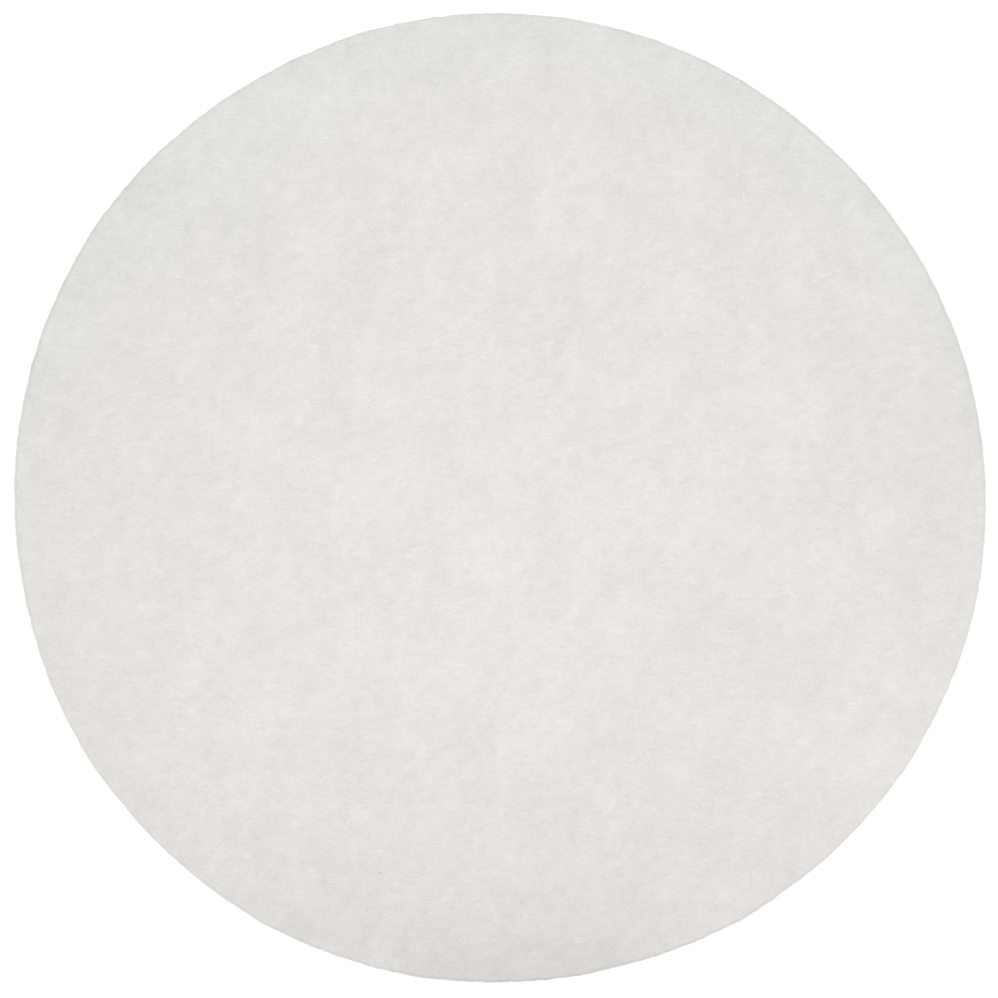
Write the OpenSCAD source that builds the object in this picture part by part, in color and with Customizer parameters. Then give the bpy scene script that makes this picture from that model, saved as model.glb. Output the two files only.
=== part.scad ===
// Filter paper disc: one round, flat, unfolded sheet of filter paper,
// cut from the web with a round knife.
//
// Frame: millimetres, +Z up. The sheet lies flat with its underside on z = 0
// and the axis of the round cut on the Z axis, so the origin is the middle of
// the face that rests on a funnel plate or a bench.

/* [Sheet] */
// Diameter that the knife cuts
disc_d = 110; // [40:5:320]
// Thickness of the paper, loose and dry
sheet_t = 0.18; // [0.12:0.01:0.40]

/* [Cut edge] */
// Width of the band at the rim where the knife has pressed the upper face down
rollover_w = 0.25; // [0.10:0.05:0.50]
// How far the upper face has gone down where it meets the cut
rollover_drop = 0.06; // [0.02:0.01:0.08]

/* [Colour] */
// Off-white of bleached cotton and wood cellulose, as red, green and blue
paper_color = [0.92, 0.905, 0.89]; // [0:0.005:1]

/* [Hidden] */

disc_r = disc_d / 2;
flat_r = disc_r - rollover_w;
// Radius of the arc that leaves the upper face smoothly, rollover_w in from
// the rim, and meets the cut rollover_drop below that face
rollover_r = (rollover_w * rollover_w + rollover_drop * rollover_drop) / (2 * rollover_drop);
rim_facets = 256;

// Half of the sheet's section, from the axis out to the cut: square where it
// stands on its underside, rolled over along its upper edge.
module half_section() {
    intersection() {
        square([disc_r, sheet_t]);
        union() {
            square([flat_r, sheet_t]);
            translate([flat_r, sheet_t - rollover_r])
                circle(r = rollover_r, $fn = rim_facets);
        }
    }
}

// The whole sheet: its section turned once round the axis of the cut.
module filter_disc() {
    color(paper_color)
        rotate_extrude($fn = rim_facets)
            half_section();
}

filter_disc();
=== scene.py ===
import math

import bpy
import numpy as np
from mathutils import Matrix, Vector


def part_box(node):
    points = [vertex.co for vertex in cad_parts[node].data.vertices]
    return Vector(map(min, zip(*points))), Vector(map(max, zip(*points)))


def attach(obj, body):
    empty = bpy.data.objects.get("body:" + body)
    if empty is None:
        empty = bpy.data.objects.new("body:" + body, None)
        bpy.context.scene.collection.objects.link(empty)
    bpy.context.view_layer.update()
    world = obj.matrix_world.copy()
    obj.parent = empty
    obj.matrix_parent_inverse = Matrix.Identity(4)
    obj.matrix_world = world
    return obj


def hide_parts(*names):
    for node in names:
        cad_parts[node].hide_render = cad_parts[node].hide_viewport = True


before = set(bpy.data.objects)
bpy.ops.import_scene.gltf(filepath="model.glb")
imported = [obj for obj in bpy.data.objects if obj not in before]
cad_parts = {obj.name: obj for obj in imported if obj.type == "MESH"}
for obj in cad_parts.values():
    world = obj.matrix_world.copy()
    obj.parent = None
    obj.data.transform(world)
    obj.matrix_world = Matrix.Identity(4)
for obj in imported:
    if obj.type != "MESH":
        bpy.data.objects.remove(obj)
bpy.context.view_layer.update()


# ---- Camera ---------------------------------------------------------------
# The sheet is looked at from straight above, with +Y at the top of the view.
# The lens is long, so that even what stands off the plate is seen square on.

VIEW_PX = 998
CUT_RADIUS_PX = 484.9
CUT_CENTRE_PX = (498.8, 498.3)
LENS_MM = 100.0
SENSOR_MM = 36.0
NEAREST_SEEN = 0.01
FARTHEST_SEEN = 20.0

sheet_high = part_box("filter_disc")[1]
disc_r = max(sheet_high.x, sheet_high.y)
sheet_t = sheet_high.z
metres_per_px = disc_r / CUT_RADIUS_PX
middle_px = (VIEW_PX - 1) / 2

camera_data = bpy.data.cameras.new("camera")
camera_data.lens = LENS_MM
camera_data.sensor_width = SENSOR_MM
camera_data.clip_start = NEAREST_SEEN
camera_data.clip_end = FARTHEST_SEEN
camera = bpy.data.objects.new("camera", camera_data)
camera.location = (
    (middle_px - CUT_CENTRE_PX[0]) * metres_per_px,
    (CUT_CENTRE_PX[1] - middle_px) * metres_per_px,
    sheet_t + VIEW_PX * metres_per_px * LENS_MM / SENSOR_MM,
)
bpy.context.scene.collection.objects.link(camera)
bpy.context.scene.camera = camera


# ---- Sheet ----------------------------------------------------------------
# One sheet of filter paper: cotton and wood cellulose laid from water on a
# wire, pressed, dried, and cut round by a knife that rolls the upper edge
# over. Its fibres settle in clumps, so it is not quite even anywhere.

MM = 0.001

# Both faces are grids that end a band's width inside the cut. From there
# rings of points follow the cut: over the rest of the flat band, down the
# roll-over, down the rough cut wall and round its lower corner.
GRID_CELLS = 200
BAND_W = 0.55 * MM
BAND_RINGS = 4
ROLLOVER_W = 0.25 * MM
ROLLOVER_DROP = 0.06 * MM
ROLLOVER_RINGS = 7
WALL_RINGS = 4
WALL_SEED = 5
WALL_ROUGHNESS = 0.006 * MM
CORNER = 0.008 * MM

# Drying curled the sheet a little, so that the rim stands off the plate. It
# does so in waves: how many there are, their share of the lift, their phase.
LIFT = 0.10 * MM
LIFT_WAVES = [
    (2, 0.6, -0.7),
    (3, 0.4, 1.1),
]

# The cut is not quite round. It is a little longer across one way, and the
# knife wandered off the circle in slow waves, the slower the deeper. On top
# of them comes its chatter, which is fast and shallow.
OVAL_REACH = 0.135 * MM
OVAL_TURN = math.radians(-27)
WANDER_SEED = 3
WANDER_COUNTS = (3, 40)
WANDER_DEPTH = 0.095 * MM
WANDER_FALL = 1.5
CHATTER_SEED = 7
CHATTER_WAVES = 90
CHATTER_COUNTS = (20, 260)
CHATTER_DEPTH = 0.025 * MM

# Where the fibres settled in clumps the sheet is thicker. The clumps are
# drawn out a little across the web.
CLUMP_SEED = 11
CLUMP_WAVES = 260
CLUMP_SIZES = (1.6 * MM, 18.0 * MM)
CLUMP_STRETCH = 0.9
CLUMP_RELIEF = 0.010 * MM

wander_count = np.arange(*WANDER_COUNTS)
wander_depth = WANDER_DEPTH * (WANDER_COUNTS[0] / wander_count) ** WANDER_FALL
wander_phase = np.random.default_rng(WANDER_SEED).uniform(0.0, 2 * math.pi, len(wander_count))
chatter_rng = np.random.default_rng(CHATTER_SEED)
chatter_count = np.round(np.exp(chatter_rng.uniform(*np.log(CHATTER_COUNTS), CHATTER_WAVES)))
chatter_phase = chatter_rng.uniform(0.0, 2 * math.pi, CHATTER_WAVES)
clump_rng = np.random.default_rng(CLUMP_SEED)
clump_length = np.exp(clump_rng.uniform(*np.log(CLUMP_SIZES), CLUMP_WAVES))
clump_angle = clump_rng.uniform(0.0, 2 * math.pi, CLUMP_WAVES)
clump_phase = clump_rng.uniform(0.0, 2 * math.pi, CLUMP_WAVES)


def cut_radius(angle):
    """The nominal radius, plus a cosine of two lobes for the oval, one cosine of random
    phase for each count of waves in the knife's wander, and its chatter: many cosines of
    random phase whose sum has a spread of CHATTER_DEPTH."""
    radius = disc_r + OVAL_REACH * np.cos(2 * (angle - OVAL_TURN))
    for count, depth, phase in zip(wander_count, wander_depth, wander_phase):
        radius += depth * np.cos(count * angle + phase)
    for count, phase in zip(chatter_count, chatter_phase):
        radius += CHATTER_DEPTH * math.sqrt(2 / CHATTER_WAVES) * np.cos(count * angle + phase)
    return radius


def clumps(x, y):
    """How thickly the fibres settled, about 0 with a spread of 1: a sum of straight waves
    whose lengths are spread evenly on a log scale, each in its own direction and phase."""
    total = np.zeros_like(x)
    for length, angle, phase in zip(clump_length, clump_angle, clump_phase):
        along = x * math.cos(angle) + y * math.sin(angle) * CLUMP_STRETCH
        total += np.cos(2 * math.pi * along / length + phase)
    return total / math.sqrt(CLUMP_WAVES / 2)


def lift(x, y):
    """How far the sheet stands off the plate: LIFT, times the square of the radius as a
    share of the disc's, times the mean of 1 and the waves round the rim, which is never
    under 0."""
    angle = np.arctan2(y, x)
    round_the_rim = np.ones_like(angle)
    for count, share, phase in LIFT_WAVES:
        round_the_rim += share * np.cos(count * angle + phase)
    return LIFT * (x**2 + y**2) / disc_r**2 * np.maximum(round_the_rim, 0) / 2


def upper_face(x, y):
    """The sheet's thickness above its lifted underside, a little more where the fibres
    settled thickly."""
    return sheet_t + lift(x, y) + CLUMP_RELIEF * clumps(x, y)


def square_to_disc(cells):
    """Lays a square grid over a unit disc: a point's distance from the middle along the
    longer axis becomes its radius, and its share of the square's side becomes its share of
    a quarter turn."""
    side = np.linspace(-1.0, 1.0, cells + 1)
    a, b = np.meshgrid(side, side)
    wide = np.abs(a) >= np.abs(b)
    radius = np.where(wide, a, b)
    safe = np.where(radius == 0, 1, radius)
    angle = np.where(wide, math.pi / 4 * b / safe, math.pi / 2 - math.pi / 4 * a / safe)
    return (radius * np.cos(angle)).ravel(), (radius * np.sin(angle)).ravel()


def grid_outline(cells):
    """The numbers of the grid's outer points, anticlockwise."""
    number = np.arange((cells + 1) ** 2).reshape(cells + 1, cells + 1)
    return np.concatenate([number[:-1, -1], number[-1, :0:-1], number[:0:-1, 0], number[0, :-1]])


def grid_quads(cells):
    """The four corners of each of the grid's cells, anticlockwise."""
    number = np.arange((cells + 1) ** 2).reshape(cells + 1, cells + 1)
    corners = [number[:-1, :-1], number[:-1, 1:], number[1:, 1:], number[1:, :-1]]
    return np.stack([c.ravel() for c in corners], axis=1)


def edge_rings():
    """The rings of points, from the flat band down the roll-over's arc and the cut wall to
    a little way back under the sheet: how far each lies inside the cut, how far the face
    has dropped there, and its height as a share of what is left under that drop. The arc's
    radius is the sum of the squares of its width and its drop, over twice the drop."""
    band = np.linspace(BAND_W, ROLLOVER_W, BAND_RINGS + 1)[1:]
    arc = (ROLLOVER_W**2 + ROLLOVER_DROP**2) / (2 * ROLLOVER_DROP)
    lean = np.linspace(0, math.asin(ROLLOVER_W / arc), ROLLOVER_RINGS + 1)[1:]
    wall = np.linspace(1, 0, WALL_RINGS + 1)[1:]
    above_corner = np.maximum(wall, CORNER / sheet_t)
    underneath = [CORNER, ROLLOVER_W / 2]
    inset = np.concatenate([band, ROLLOVER_W - arc * np.sin(lean), 0 * wall, underneath])
    drop = np.concatenate([0 * band, arc * (1 - np.cos(lean)), ROLLOVER_DROP + 0 * wall, [0, 0]])
    share = np.concatenate([1 + 0 * band, 1 + 0 * lean, above_corner, [0, 0]])
    return inset, drop, share


def sheet_points():
    """The upper face's grid, then the edge's rings, of which those at the cut itself are
    roughened, then the underside's grid."""
    disc_x, disc_y = square_to_disc(GRID_CELLS)
    flat = cut_radius(np.arctan2(disc_y, disc_x)) - BAND_W
    x, y = disc_x * flat, disc_y * flat
    outline = grid_outline(GRID_CELLS)
    angle = np.arctan2(disc_y[outline], disc_x[outline])
    inset, drop, share = (row[:, None] for row in edge_rings())
    rough = np.random.default_rng(WALL_SEED).normal(0, WALL_ROUGHNESS, (len(inset), len(outline)))
    radius = cut_radius(angle) - inset + np.where(inset < CORNER / 2, rough, 0)
    ring_x, ring_y = radius * np.cos(angle), radius * np.sin(angle)
    low = lift(ring_x, ring_y)
    ring_z = low + share * (upper_face(ring_x, ring_y) - drop - low)
    return np.concatenate(
        [
            np.stack([x, y, upper_face(x, y)], axis=1),
            np.stack([ring_x, ring_y, ring_z], axis=2).reshape(-1, 3),
            np.stack([x, y, lift(x, y)], axis=1),
        ]
    )


def sheet_quads():
    """The two grids' faces, and a band of faces between each loop of points and the next:
    the upper grid's outline, the edge's rings, the underside's outline."""
    grid_count = (GRID_CELLS + 1) ** 2
    faces = grid_quads(GRID_CELLS)
    outline = grid_outline(GRID_CELLS)
    ring_count = len(edge_rings()[0])
    rings = grid_count + np.arange(ring_count * len(outline)).reshape(ring_count, -1)
    below = rings.size + grid_count
    loops = [outline, *rings, below + outline]
    bands = [
        np.stack([inner, outer, np.roll(outer, -1), np.roll(inner, -1)], axis=1)
        for inner, outer in zip(loops, loops[1:])
    ]
    return np.concatenate([faces, *bands, below + faces[:, ::-1]])


def make_piece(name, points, *face_groups, smooth):
    """A mesh from whole arrays: the faces of a group all have the same number of corners."""
    mesh = bpy.data.meshes.new(name)
    corners = np.concatenate([faces.ravel() for faces in face_groups]).astype(np.int32)
    sizes = np.concatenate([np.full(len(faces), faces.shape[1]) for faces in face_groups])
    mesh.vertices.add(len(points))
    mesh.vertices.foreach_set("co", points.astype(np.float32).ravel())
    mesh.loops.add(len(corners))
    mesh.loops.foreach_set("vertex_index", corners)
    mesh.polygons.add(len(sizes))
    mesh.polygons.foreach_set("loop_start", (np.cumsum(sizes) - sizes).astype(np.int32))
    mesh.polygons.foreach_set("use_smooth", np.full(len(sizes), smooth))
    mesh.update(calc_edges=True)
    mesh.validate()
    piece = bpy.data.objects.new(name, mesh)
    bpy.context.scene.collection.objects.link(piece)
    return piece


points = sheet_points()
sheet = make_piece("filter_paper", points, sheet_quads(), smooth=True)

# Broad patches of painted light and shade, lighter or darker, the darkest of
# them a painted shade along the bottom rim: the middle of each and its radius
# in millimetres, and how much lighter it is, in hundredths. Some have their
# middle beyond the cut, and reach in from there.
HUNDREDTHS = 100
PAINTED_LIGHT_AND_SHADE_PATCHES = [
    (-5, -57.5, 9, -7.5),
    (9, -57.5, 9, -8.0),
    (-20, -47, 9, -2.0),
    (12, -43, 8, -1.5),
    (45, -29, 10, 4.0),
    (-16, 43, 11, 2.0),
    (6, 47, 11, 1.6),
    (-42, 28, 11, -1.6),
    (-53, 12, 6, -3.0),
    (51, 7, 8, -3.2),
    (39, 7, 4.5, -1.6),
    (8, 15, 8, -1.4),
    (2, 18, 4.5, -1.5),
    (17, 16, 4, -1.4),
    (33, 23, 10, -0.8),
    (0, -18, 11, 1.3),
    (-29, -26, 10, 1.8),
    (26, -15, 7, -1.5),
    (-38, 5, 4, -1.8),
    (-18, 23, 8, -0.9),
]
CLUMP_TONE = 0.013

# The margin is darker than the middle: a painted shade that fades inwards.
# Just inside the cut a narrow band of painted shade, darkest on three sides,
# deepens the dark line of the roll-over, and at the cut itself the loosened
# fibres are lighter.
MARGIN_PAINTED_SHADE = 0.011
MARGIN_SHADE_W = 2.4 * MM
RIM_LINE_PAINTED_SHADE = 0.060
RIM_LINE_SHADE_SWING = 0.048
RIM_LINE_SHADE_SIDES = 3
RIM_LINE_SHADE_FIRST = math.radians(38)
RIM_LINE_SHADE_INSET = 0.19 * MM
RIM_LINE_SHADE_W = 0.075 * MM
LOOSE_TONE = 0.072
LOOSE_INSET = 0.07 * MM
LOOSE_W = 0.075 * MM


def tone(x, y):
    """How much lighter than its mean the sheet is coloured: the clumps, a bell curve for
    each broad patch of painted light and shade, and along the cut a fading painted shade
    at the margin and two narrow bell curves, one of painted shade that deepens the
    roll-over's dark line and one for the loosened fibres."""
    total = CLUMP_TONE * clumps(x, y)
    for middle_x, middle_y, radius, strength in PAINTED_LIGHT_AND_SHADE_PATCHES:
        away = np.hypot(x - middle_x * MM, y - middle_y * MM) / (radius * MM)
        total += strength / HUNDREDTHS * np.exp(-(away**2))
    angle = np.arctan2(y, x)
    inset = np.maximum(cut_radius(angle) - np.hypot(x, y), 0)
    # The painted shade that deepens the roll-over's dark line, darkest on three sides.
    rim_line_shade = RIM_LINE_PAINTED_SHADE + RIM_LINE_SHADE_SWING * np.cos(RIM_LINE_SHADE_SIDES * (angle - RIM_LINE_SHADE_FIRST))
    total -= MARGIN_PAINTED_SHADE * np.exp(-inset / MARGIN_SHADE_W)
    total -= rim_line_shade * np.exp(-(((inset - RIM_LINE_SHADE_INSET) / RIM_LINE_SHADE_W) ** 2))
    return total + LOOSE_TONE * np.exp(-(((inset - LOOSE_INSET) / LOOSE_W) ** 2))


# The margin is a cooler white than the middle. It is narrow at most places,
# and wider round these angles, in degrees: how much wider, in millimetres,
# and how far to each side of the angle that goes, in degrees.
COOL_REACH = 0.9 * MM
COOL_WIDER = [
    (45, 6.0, 25),
    (85, 6.0, 25),
    (130, 12.0, 28),
    (170, 1.5, 20),
]


def coolness(x, y):
    """1 at the cut, falling off inwards as a bell curve whose width changes round the sheet."""
    angle = np.arctan2(y, x)
    inset = np.maximum(cut_radius(angle) - np.hypot(x, y), 0)
    reach = np.full_like(angle, COOL_REACH)
    for place, wider, spread in COOL_WIDER:
        turn = (angle - math.radians(place) + math.pi) % (2 * math.pi) - math.pi
        reach += wider * MM * np.exp(-((turn / math.radians(spread)) ** 2))
    return np.exp(-((inset / reach) ** 2))


def write_attribute(piece, name, values):
    """One value for each point of the piece, which its material reads by that name."""
    layer = piece.data.attributes.new(name, "FLOAT", "POINT")
    layer.data.foreach_set("value", values.astype(np.float32))


write_attribute(sheet, "tone", tone(points[:, 0], points[:, 1]))
write_attribute(sheet, "coolness", coolness(points[:, 0], points[:, 1]))


def add_node(tree, kind, **settings):
    """A new node of that kind, with these of its settings changed."""
    node = tree.nodes.new(kind)
    for name, value in settings.items():
        setattr(node, name, value)
    return node


def calculate(tree, operation, *values):
    """A Math node; each of values is a number or another node's output."""
    node = add_node(tree, "ShaderNodeMath", operation=operation)
    for socket, value in zip(node.inputs, values):
        if isinstance(value, bpy.types.NodeSocket):
            tree.links.new(value, socket)
        else:
            socket.default_value = value
    return node.outputs[0]


# A Mix node has a set of sockets for each kind of value. These are where its
# share, its two colours and the colour that comes out are.
MIX_SHARE = 0
MIX_COLOURS = (6, 7)
MIX_RESULT = 2


def mix_colours(tree, share, *colours):
    """From the first colour to the second; each is a colour or another node's output."""
    node = add_node(tree, "ShaderNodeMix", data_type="RGBA")
    tree.links.new(share, node.inputs[MIX_SHARE])
    for number, colour in zip(MIX_COLOURS, colours):
        if isinstance(colour, bpy.types.NodeSocket):
            tree.links.new(colour, node.inputs[number])
        else:
            node.inputs[number].default_value = (*colour, 1)
    return node.outputs[MIX_RESULT]


NOISE_MIDDLE = 0.5


def noise_field(tree, where, scale, detail=0.0, roughness=0.5):
    """A Noise node whose values lie about NOISE_MIDDLE, with scale lumps to each unit of where."""
    node = add_node(tree, "ShaderNodeTexNoise", noise_dimensions="3D")
    node.inputs["Scale"].default_value = scale
    node.inputs["Detail"].default_value = detail
    node.inputs["Roughness"].default_value = roughness
    tree.links.new(where, node.inputs["Vector"])
    return node


ROSY_WHITE = (0.8306, 0.7939, 0.7755)
IVORY_WHITE = (0.8244, 0.8001, 0.7600)
COOL_WHITE = (0.8145, 0.8080, 0.7740)
TINT_DRIFT_SIZE = 4.5 * MM
TINT_DRIFT_DETAIL = 3.0
TINT_DRIFT_ROUGHNESS = 0.6
TINT_DRIFT_STEEPNESS = 3.8
# At the middle of its drift the white is half-way from the rosy to the ivory.
HALF_WAY = 0.5


def cellulose_group():
    """Bleached cellulose: its white drifts between a rosy and an ivory one, Coolness takes
    it to a cool one, and Tone lightens or darkens it: the colour is multiplied by 1 plus
    Tone."""
    tree = bpy.data.node_groups.new("cellulose", "ShaderNodeTree")
    tree.interface.new_socket("Tone", in_out="INPUT", socket_type="NodeSocketFloat")
    tree.interface.new_socket("Coolness", in_out="INPUT", socket_type="NodeSocketFloat")
    tree.interface.new_socket("Colour", in_out="OUTPUT", socket_type="NodeSocketColor")
    entry = add_node(tree, "NodeGroupInput")
    leave = add_node(tree, "NodeGroupOutput")
    where = add_node(tree, "ShaderNodeTexCoord")
    drift = noise_field(
        tree,
        where.outputs["Object"],
        1 / TINT_DRIFT_SIZE,
        detail=TINT_DRIFT_DETAIL,
        roughness=TINT_DRIFT_ROUGHNESS,
    )
    ivory_at_zero = HALF_WAY - NOISE_MIDDLE * TINT_DRIFT_STEEPNESS
    towards_ivory = calculate(
        tree, "MULTIPLY_ADD", drift.outputs[0], TINT_DRIFT_STEEPNESS, ivory_at_zero
    )
    warm = mix_colours(tree, towards_ivory, ROSY_WHITE, IVORY_WHITE)
    tint = mix_colours(tree, entry.outputs["Coolness"], warm, COOL_WHITE)
    shaded = add_node(tree, "ShaderNodeVectorMath", operation="SCALE")
    tree.links.new(tint, shaded.inputs[0])
    tree.links.new(calculate(tree, "ADD", entry.outputs["Tone"], 1.0), shaded.inputs["Scale"])
    tree.links.new(shaded.outputs[0], leave.inputs["Colour"])
    return tree


def cellulose_colour(tree, tone_output):
    """The cellulose group, placed in a material: its tone is given, and its coolness is the
    piece's own."""
    coolness_value = add_node(tree, "ShaderNodeAttribute", attribute_name="coolness")
    colour = add_node(tree, "ShaderNodeGroup")
    colour.node_tree = cellulose
    tree.links.new(tone_output, colour.inputs["Tone"])
    tree.links.new(coolness_value.outputs["Fac"], colour.inputs["Coolness"])
    return colour.outputs["Colour"]


WEB_TURNS = (-13, 2, 15, 41, -47, 84)
WEB_BEND_SIZE = 1.6 * MM
LAYER_GAP = 10.0
THREAD_SHARPNESS = 60.0


def fibre_web_group():
    """Felted fibres: for each of several directions, in degrees, a noise drawn out along
    it, each from a slice of its own LAYER_GAP from the last. The values near the noise's
    middle become threads: a thread's height is e to the power of minus THREAD_SHARPNESS
    times the square of the distance from that middle. A coarser noise bends them all, and
    Height is the mean of the directions."""
    tree = bpy.data.node_groups.new("fibre_web", "ShaderNodeTree")
    for socket in ("Length", "Width", "Bend"):
        tree.interface.new_socket(socket, in_out="INPUT", socket_type="NodeSocketFloat")
    tree.interface.new_socket("Height", in_out="OUTPUT", socket_type="NodeSocketFloat")
    entry = add_node(tree, "NodeGroupInput")
    leave = add_node(tree, "NodeGroupOutput")
    where = add_node(tree, "ShaderNodeTexCoord")
    bend = noise_field(tree, where.outputs["Object"], 1 / WEB_BEND_SIZE)
    pushed = add_node(tree, "ShaderNodeVectorMath", operation="SCALE")
    tree.links.new(bend.outputs["Color"], pushed.inputs[0])
    tree.links.new(entry.outputs["Bend"], pushed.inputs["Scale"])
    bent = add_node(tree, "ShaderNodeVectorMath", operation="ADD")
    tree.links.new(where.outputs["Object"], bent.inputs[0])
    tree.links.new(pushed.outputs[0], bent.inputs[1])
    total = 0.0
    for layer, turn in enumerate(WEB_TURNS):
        spin = add_node(tree, "ShaderNodeVectorRotate", rotation_type="Z_AXIS")
        spin.inputs["Angle"].default_value = math.radians(-turn)
        tree.links.new(bent.outputs[0], spin.inputs["Vector"])
        parts = add_node(tree, "ShaderNodeSeparateXYZ")
        tree.links.new(spin.outputs[0], parts.inputs[0])
        drawn = add_node(tree, "ShaderNodeCombineXYZ")
        along = calculate(tree, "DIVIDE", parts.outputs["X"], entry.outputs["Length"])
        across = calculate(tree, "DIVIDE", parts.outputs["Y"], entry.outputs["Width"])
        tree.links.new(along, drawn.inputs["X"])
        tree.links.new(across, drawn.inputs["Y"])
        drawn.inputs["Z"].default_value = LAYER_GAP * layer
        strand = noise_field(tree, drawn.outputs[0], 1.0)
        off_centre = calculate(tree, "SUBTRACT", strand.outputs[0], NOISE_MIDDLE)
        squared = calculate(tree, "MULTIPLY", off_centre, off_centre)
        sharpened = calculate(tree, "MULTIPLY", squared, -THREAD_SHARPNESS)
        thread = calculate(tree, "EXPONENT", sharpened)
        total = calculate(tree, "ADD", thread, total)
    height = calculate(tree, "DIVIDE", total, len(WEB_TURNS))
    tree.links.new(height, leave.inputs["Height"])
    return tree


FIBRE_LENGTH = 2.2 * MM
FIBRE_SPACING = 0.42 * MM
FIBRE_BEND = 0.8 * MM
WEB_MEAN = 0.75
WEB_TONE = 0.128
GRAIN_SIZE = 0.5 * MM
GRAIN_DETAIL = 2.0
GRAIN_ROUGHNESS = 0.8
GRAIN_TONE = 0.046
WEB_RELIEF = 0.03 * MM
RELIEF_STRENGTH = 1.0
PAPER_ROUGHNESS = 0.9
PAPER_SPECULAR = 0.2

paper = bpy.data.materials.new("filter_paper")
paper.use_nodes = True
tree = paper.node_tree
surface = tree.nodes["Principled BSDF"]
where = add_node(tree, "ShaderNodeTexCoord")
grain = noise_field(
    tree, where.outputs["Object"], 1 / GRAIN_SIZE, detail=GRAIN_DETAIL, roughness=GRAIN_ROUGHNESS
)
web = add_node(tree, "ShaderNodeGroup")
web.node_tree = fibre_web_group()
web.inputs["Length"].default_value = FIBRE_LENGTH
web.inputs["Width"].default_value = FIBRE_SPACING
web.inputs["Bend"].default_value = FIBRE_BEND
broad = add_node(tree, "ShaderNodeAttribute", attribute_name="tone")
mean_of_both = NOISE_MIDDLE * GRAIN_TONE + WEB_MEAN * WEB_TONE
fine = calculate(tree, "MULTIPLY_ADD", grain.outputs[0], GRAIN_TONE, -mean_of_both)
fine = calculate(tree, "MULTIPLY_ADD", web.outputs["Height"], WEB_TONE, fine)
cellulose = cellulose_group()
# The broad tone brings the painted light and shade of the patches, margin and rim line into the
# paper's colour.
colour = cellulose_colour(tree, calculate(tree, "ADD", fine, broad.outputs["Fac"]))
tree.links.new(colour, surface.inputs["Base Color"])
surface.inputs["Roughness"].default_value = PAPER_ROUGHNESS
surface.inputs["Specular IOR Level"].default_value = PAPER_SPECULAR
relief = add_node(tree, "ShaderNodeBump")
relief.inputs["Strength"].default_value = RELIEF_STRENGTH
relief.inputs["Distance"].default_value = WEB_RELIEF
tree.links.new(web.outputs["Height"], relief.inputs["Height"])
tree.links.new(relief.outputs[0], surface.inputs["Normal"])

sheet.data.materials.append(paper)
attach(sheet, "root")
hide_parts("filter_disc")


# ---- Surface fibres -------------------------------------------------------
# The topmost fibres of the web, which lie on the upper face and show one by
# one: flattened cellulose tubes, pointed at both ends and partly sunk among
# the others. More of them lie along the web than across it.

SURFACE_FIBRES = 8000
SURFACE_SEED = 23
SURFACE_LENGTH = (0.5 * MM, 1.9 * MM)
SURFACE_HALF_WIDTH = (0.028 * MM, 0.070 * MM)
SURFACE_HEIGHT = 0.008 * MM
SINK = 0.004 * MM
ALONG_THE_WEB = 0.62
WEB_SPREAD = math.radians(22)
CURL = 0.9
SURFACE_TONE = 0.040
SURFACE_TONE_MOST = 0.12
MARGIN_FREE = 0.35 * MM
SURFACE_TAPER = (0.0, 0.8, 1.0, 0.75, 0.0)
PROFILE_CORNERS = 3


def strand_points(lines, half_width, height, sink, taper):
    """Carries a three-cornered profile along each line: the left and right corners lie
    half_width to its sides and sink under it, and the crown lies height over it. Width and
    height shrink by taper, and end in a point at both ends."""
    along = np.gradient(lines, axis=1)
    sideways = np.stack([-along[..., 1], along[..., 0], 0 * along[..., 2]], axis=2)
    sideways /= np.linalg.norm(sideways, axis=2, keepdims=True)
    size = np.asarray(taper)[None, 1:-1, None]
    inner = lines[:, 1:-1]
    across = sideways[:, 1:-1] * half_width[:, None, None] * size
    down = np.array([0.0, 0.0, sink])
    up = np.array([0.0, 0.0, 1.0]) * height[:, None, None] * size
    rings = np.stack([inner + across - down, inner + up, inner - across - down], axis=2)
    rings = rings.reshape(len(lines), -1, 3)
    return np.concatenate([lines[:, :1], rings, lines[:, -1:]], axis=1)


def strand_faces(strands, rings):
    """Four-sided faces between one profile and the next, and three-sided ones at both
    points. A strand's points are numbered from its first point, profile by profile, to its
    tip."""
    left = 1 + PROFILE_CORNERS * np.arange(rings)
    crown, right = left + 1, left + 2
    tip = 1 + PROFILE_CORNERS * rings
    quads, tris = [], []
    for a, b in ((left, crown), (crown, right), (right, left)):
        quads.append(np.stack([a[:-1], b[:-1], b[1:], a[1:]], axis=1))
        tris.append(np.array([[0, b[0], a[0]], [tip, a[-1], b[-1]]]))
    start = np.arange(strands)[:, None, None] * (tip + 1)
    quads = (np.concatenate(quads)[None] + start).reshape(-1, 4)
    tris = (np.concatenate(tris)[None] + start).reshape(-1, 3)
    return quads, tris


def make_strands(name, lines, half_width, height, sink, taper, tones):
    """One piece of many strands, each with its own width, height and tone."""
    points = strand_points(lines, half_width, height, sink, taper)
    faces = strand_faces(len(lines), lines.shape[1] - 2)
    piece = make_piece(name, points.reshape(-1, 3), *faces, smooth=False)
    write_attribute(piece, "tone", np.repeat(tones, points.shape[1]))
    write_attribute(piece, "coolness", coolness(points[..., 0], points[..., 1]).ravel())
    piece.data.materials.append(fibre_material)
    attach(piece, "root")
    return piece


FIBRE_ROUGHNESS = 0.8

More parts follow.
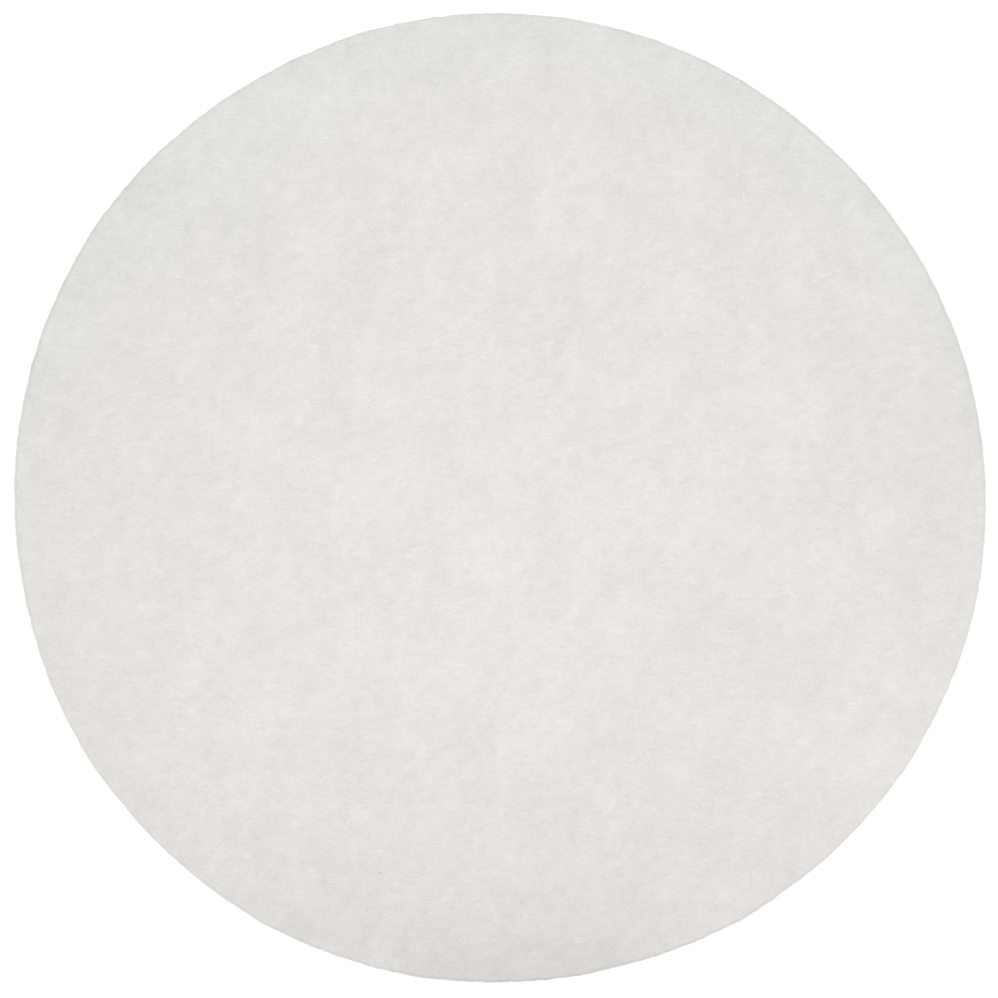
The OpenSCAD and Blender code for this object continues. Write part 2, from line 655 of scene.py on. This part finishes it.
fibre_material = bpy.data.materials.new("cellulose_fibre")
fibre_material.use_nodes = True
tree = fibre_material.node_tree
surface = tree.nodes["Principled BSDF"]
own_tone = add_node(tree, "ShaderNodeAttribute", attribute_name="tone")
tree.links.new(cellulose_colour(tree, own_tone.outputs["Fac"]), surface.inputs["Base Color"])
surface.inputs["Roughness"].default_value = FIBRE_ROUGHNESS
surface.inputs["Specular IOR Level"].default_value = PAPER_SPECULAR


def curved_lines(start, heading, length, curl, stations):
    """Lines of equal steps that start at a point and turn evenly: the heading changes by
    curl from one end to the other, and is the one given at the middle."""
    share = (np.arange(stations - 1) + 0.5) / (stations - 1)
    turned = heading[:, None] + curl[:, None] * (share - 0.5)
    step = length[:, None] / (stations - 1)
    x = np.cumsum(step * np.cos(turned), axis=1)
    y = np.cumsum(step * np.sin(turned), axis=1)
    zero = np.zeros((len(length), 1))
    return start[:, :1] + np.hstack([zero, x]), start[:, 1:] + np.hstack([zero, y])


# The fibres lie evenly spread over the sheet, because the distance of each
# from its middle is the square root of an even draw.
rng = np.random.default_rng(SURFACE_SEED)
outermost = disc_r - MARGIN_FREE - SURFACE_LENGTH[1] / 2
spot_r = outermost * np.sqrt(rng.uniform(0, 1, SURFACE_FIBRES))
spot_angle = rng.uniform(0, 2 * math.pi, SURFACE_FIBRES)
with_the_web = rng.normal(0, WEB_SPREAD, SURFACE_FIBRES)
with_the_web += math.pi * rng.integers(0, 2, SURFACE_FIBRES)
any_way = rng.uniform(0, 2 * math.pi, SURFACE_FIBRES)
heading = np.where(rng.uniform(0, 1, SURFACE_FIBRES) < ALONG_THE_WEB, with_the_web, any_way)
length = rng.uniform(*SURFACE_LENGTH, SURFACE_FIBRES)
middle = np.stack([spot_r * np.cos(spot_angle), spot_r * np.sin(spot_angle)], axis=1)
start = middle - length[:, None] / 2 * np.stack([np.cos(heading), np.sin(heading)], axis=1)
curl = rng.normal(0, CURL, SURFACE_FIBRES)
x, y = curved_lines(start, heading, length, curl, len(SURFACE_TAPER))
make_strands(
    "surface_fibres",
    np.stack([x, y, upper_face(x, y)], axis=2),
    rng.uniform(*SURFACE_HALF_WIDTH, SURFACE_FIBRES),
    np.full(SURFACE_FIBRES, SURFACE_HEIGHT),
    SINK,
    SURFACE_TAPER,
    # Each fibre takes the sheet's tone under its middle, painted light and shade included, plus a
    # tone of its own.
    tone(middle[:, 0], middle[:, 1])
    + np.clip(rng.laplace(0, SURFACE_TONE, SURFACE_FIBRES), -SURFACE_TONE_MOST, SURFACE_TONE_MOST),
)


# ---- Cut fibres -----------------------------------------------------------
# The ends of fibres that the knife cut or dragged out of the wall. They
# stand out of the cut by a hair's breadth or two and soften its outline.

CUT_FIBRES = 3400
CUT_SEED = 31
CUT_ROOT = 0.10 * MM
CUT_REACH = 0.065 * MM
CUT_REACH_MOST = 0.30 * MM
CUT_HALF_WIDTH = (0.006 * MM, 0.013 * MM)
CUT_HEIGHT = 0.009 * MM
CUT_SPREAD = math.radians(38)
CUT_DROOP = 0.25
CUT_LOW = 0.012 * MM
CUT_TONE = 0.05
CUT_TAPER = (0.0, 1.0, 0.9, 0.7, 0.0)

# Each fibre starts a little way inside the wall, at an even draw of its
# height, and droops with the square of how far it has run, down to CUT_LOW.
rng = np.random.default_rng(CUT_SEED)
place = rng.uniform(0, 2 * math.pi, CUT_FIBRES)
reach = np.minimum(rng.exponential(CUT_REACH, CUT_FIBRES), CUT_REACH_MOST)
root_r = cut_radius(place) - CUT_ROOT
root = np.stack([root_r * np.cos(place), root_r * np.sin(place)], axis=1)
heading = place + rng.normal(0, CUT_SPREAD, CUT_FIBRES)
curl = rng.normal(0, CURL, CUT_FIBRES)
x, y = curved_lines(root, heading, CUT_ROOT + reach, curl, len(CUT_TAPER))
wall_low = lift(root[:, 0], root[:, 1]) + CUT_LOW
wall_high = upper_face(root[:, 0], root[:, 1]) - ROLLOVER_DROP - CUT_LOW
root_z = wall_low + rng.uniform(0, 1, CUT_FIBRES) * (wall_high - wall_low)
run = np.hypot(x - x[:, :1], y - y[:, :1])
z = np.maximum(root_z[:, None] - CUT_DROOP * run**2 / (CUT_ROOT + CUT_REACH), CUT_LOW)
make_strands(
    "cut_fibres",
    np.stack([x, y, z], axis=2),
    rng.uniform(*CUT_HALF_WIDTH, CUT_FIBRES),
    np.full(CUT_FIBRES, CUT_HEIGHT),
    SINK,
    CUT_TAPER,
    # Each cut fibre takes the sheet's tone at its root, painted shade of the margin and rim line
    # included.
    tone(root[:, 0], root[:, 1]) + rng.normal(0, CUT_TONE, CUT_FIBRES),
)


# ---- Hairs and shives -----------------------------------------------------
# What the pulp's screens let through: coarse hairs that lie curved on the
# upper face, and shives, which are short slivers of uncooked wood.

# Each hair's start, the two points it bends towards and its end, in millimetres.
HAIRS = [
    [(1.5, 16.4), (2.0, 12.8), (4.0, 12.8), (4.6, 15.1)],
    [(4.7, 14.1), (5.0, 13.7), (5.7, 13.6), (6.1, 14.9)],
]
HAIR_HALF_WIDTH = 0.070 * MM
HAIR_HEIGHT = 0.010 * MM
HAIR_TONE = -0.10
HAIR_TAPER = (0.0, 0.6, 0.9, 1.0, 1.0, 1.0, 1.0, 0.9, 0.6, 0.0)

# Each shive's middle, length and width in millimetres, its angle in degrees
# and how much lighter it is than the sheet, in hundredths. The last two are no
# shives but painted light and shade for a chip at the rim: a painted highlight
# on the face it bared, and a painted shadow beside it.
SHIVES_AND_CHIP_LIGHTING = [
    (-13.6, -42.4, 0.50, 0.20, -42, -30),
    (27.2, 18.9, 0.38, 0.14, -30, -14),
    (26.8, -13.2, 0.25, 0.13, 90, -12),
    (26.8, -15.0, 0.22, 0.13, 40, -12),
    (-45.8, 4.7, 0.26, 0.12, 90, -11),
    (-13.1, -42.9, 0.26, 0.14, -40, 7),
    (-2.8, -39.6, 0.42, 0.18, 25, 8),
    (54.52, -1.12, 0.80, 0.40, 0, 7),
    (54.50, -0.70, 0.72, 0.20, 0, -5),
]
SHIVE_HEIGHT = 0.012 * MM
SHIVE_TAPER = (0.0, 0.9, 1.0, 0.8, 0.0)


def bezier_line(points, stations):
    """The cubic curve from the first of four points to the last, which bends towards the
    two between: each point is weighted by its term of (what is left + share) cubed, where
    share runs from 0 to 1 and what is left is 1 minus share."""
    share = np.linspace(0, 1, stations)[:, None]
    left = 1 - share
    weights = (left**3, 3 * share * left**2, 3 * share**2 * left, share**3)
    return sum(weight * np.array(point) * MM for weight, point in zip(weights, points))


hair_x, hair_y = np.moveaxis([bezier_line(hair, len(HAIR_TAPER)) for hair in HAIRS], 2, 0)
make_strands(
    "hairs",
    np.stack([hair_x, hair_y, upper_face(hair_x, hair_y)], axis=2),
    np.full(len(HAIRS), HAIR_HALF_WIDTH),
    np.full(len(HAIRS), HAIR_HEIGHT),
    SINK,
    HAIR_TAPER,
    # Each hair takes the sheet's tone at its start, painted light and shade included.
    tone(hair_x[:, 0], hair_y[:, 0]) + HAIR_TONE,
)

shive_x, shive_y, shive_l, shive_w, shive_angle, shive_and_chip_light_tone = np.array(SHIVES_AND_CHIP_LIGHTING).T
heading = np.radians(shive_angle)
run = np.linspace(-0.5, 0.5, len(SHIVE_TAPER))[None] * shive_l[:, None] * MM
x = shive_x[:, None] * MM + run * np.cos(heading)[:, None]
y = shive_y[:, None] * MM + run * np.sin(heading)[:, None]
# This piece also carries the rim chip's painted highlight and painted shadow.
make_strands(
    "shives",
    np.stack([x, y, upper_face(x, y)], axis=2),
    shive_w / 2 * MM,
    np.full(len(SHIVES_AND_CHIP_LIGHTING), SHIVE_HEIGHT),
    SINK,
    SHIVE_TAPER,
    tone(shive_x * MM, shive_y * MM) + shive_and_chip_light_tone / HUNDREDTHS,
)


# ---- Floor ----------------------------------------------------------------
# A plain white floor. Seen directly it glows a little, more with distance,
# so that it stays white out to where it meets the white of the studio.

FLOOR_R = 0.6
FLOOR_SIDES = 64
FLOOR_WHITE = 0.8
FLOOR_ROUGHNESS = 1.0
PURE_WHITE = (1, 1, 1, 1)
GLOW_NEAR, GLOW_FAR = 0.05, 0.22
GLOW_LEAST, GLOW_MOST = 0.26, 0.8

floor_angle = np.linspace(0, 2 * math.pi, FLOOR_SIDES, endpoint=False)
floor_mesh = bpy.data.meshes.new("floor")
floor_mesh.from_pydata(
    [(FLOOR_R * math.cos(a), FLOOR_R * math.sin(a), 0.0) for a in floor_angle],
    [],
    [list(range(FLOOR_SIDES))],
)
floor = bpy.data.objects.new("floor", floor_mesh)
bpy.context.scene.collection.objects.link(floor)


def background_rays(tree):
    """1 for a ray that shows the background: from the camera, in a reflection or through
    glass."""
    path = add_node(tree, "ShaderNodeLightPath")
    seen = calculate(tree, "MAXIMUM", path.outputs["Is Camera Ray"], path.outputs["Is Glossy Ray"])
    return calculate(tree, "MAXIMUM", seen, path.outputs["Is Transmission Ray"])


floor_material = bpy.data.materials.new("floor")
floor_material.use_nodes = True
tree = floor_material.node_tree
surface = tree.nodes["Principled BSDF"]
surface.inputs["Base Color"].default_value = (FLOOR_WHITE, FLOOR_WHITE, FLOOR_WHITE, 1)
surface.inputs["Roughness"].default_value = FLOOR_ROUGHNESS
surface.inputs["Specular IOR Level"].default_value = 0.0
surface.inputs["Emission Color"].default_value = PURE_WHITE
where = add_node(tree, "ShaderNodeTexCoord")
away = add_node(tree, "ShaderNodeVectorMath", operation="LENGTH")
tree.links.new(where.outputs["Object"], away.inputs[0])
fade = add_node(tree, "ShaderNodeMapRange")
fade.inputs["From Min"].default_value = GLOW_NEAR
fade.inputs["From Max"].default_value = GLOW_FAR
fade.inputs["To Min"].default_value = GLOW_LEAST
fade.inputs["To Max"].default_value = GLOW_MOST
tree.links.new(away.outputs["Value"], fade.inputs["Value"])
glow = calculate(tree, "MULTIPLY", fade.outputs[0], background_rays(tree))
tree.links.new(glow, surface.inputs["Emission Strength"])
floor_mesh.materials.append(floor_material)


# ---- Light ----------------------------------------------------------------
# One large softbox over the sheet and an even fill from the white studio
# round it. The studio shows as plain white behind the sheet.

# How strongly the studio lights the sheet, and how white it shows itself.
FILL = 0.337
BACKGROUND_SEEN = 1.0
LAMP_HEIGHT = 0.18
LAMP_SIZE = (0.27, 0.16)
LAMP_WATTS = 0.3195
LAMP_PLACE = (0.005, 0.002)

world = bpy.data.worlds.new("studio")
world.use_nodes = True
bpy.context.scene.world = world
tree = world.node_tree
background = tree.nodes["Background"]
background.inputs["Color"].default_value = PURE_WHITE
strength = add_node(tree, "ShaderNodeMapRange")
strength.inputs["To Min"].default_value = FILL
strength.inputs["To Max"].default_value = BACKGROUND_SEEN
tree.links.new(background_rays(tree), strength.inputs["Value"])
tree.links.new(strength.outputs[0], background.inputs["Strength"])

lamp_data = bpy.data.lights.new("softbox", "AREA")
lamp_data.shape = "RECTANGLE"
lamp_data.size, lamp_data.size_y = LAMP_SIZE
lamp_data.energy = LAMP_WATTS
lamp = bpy.data.objects.new("softbox", lamp_data)
lamp.location = (*LAMP_PLACE, LAMP_HEIGHT)
lamp.visible_camera = False
bpy.context.scene.collection.objects.link(lamp)

bpy.context.scene.view_settings.view_transform = "Standard"
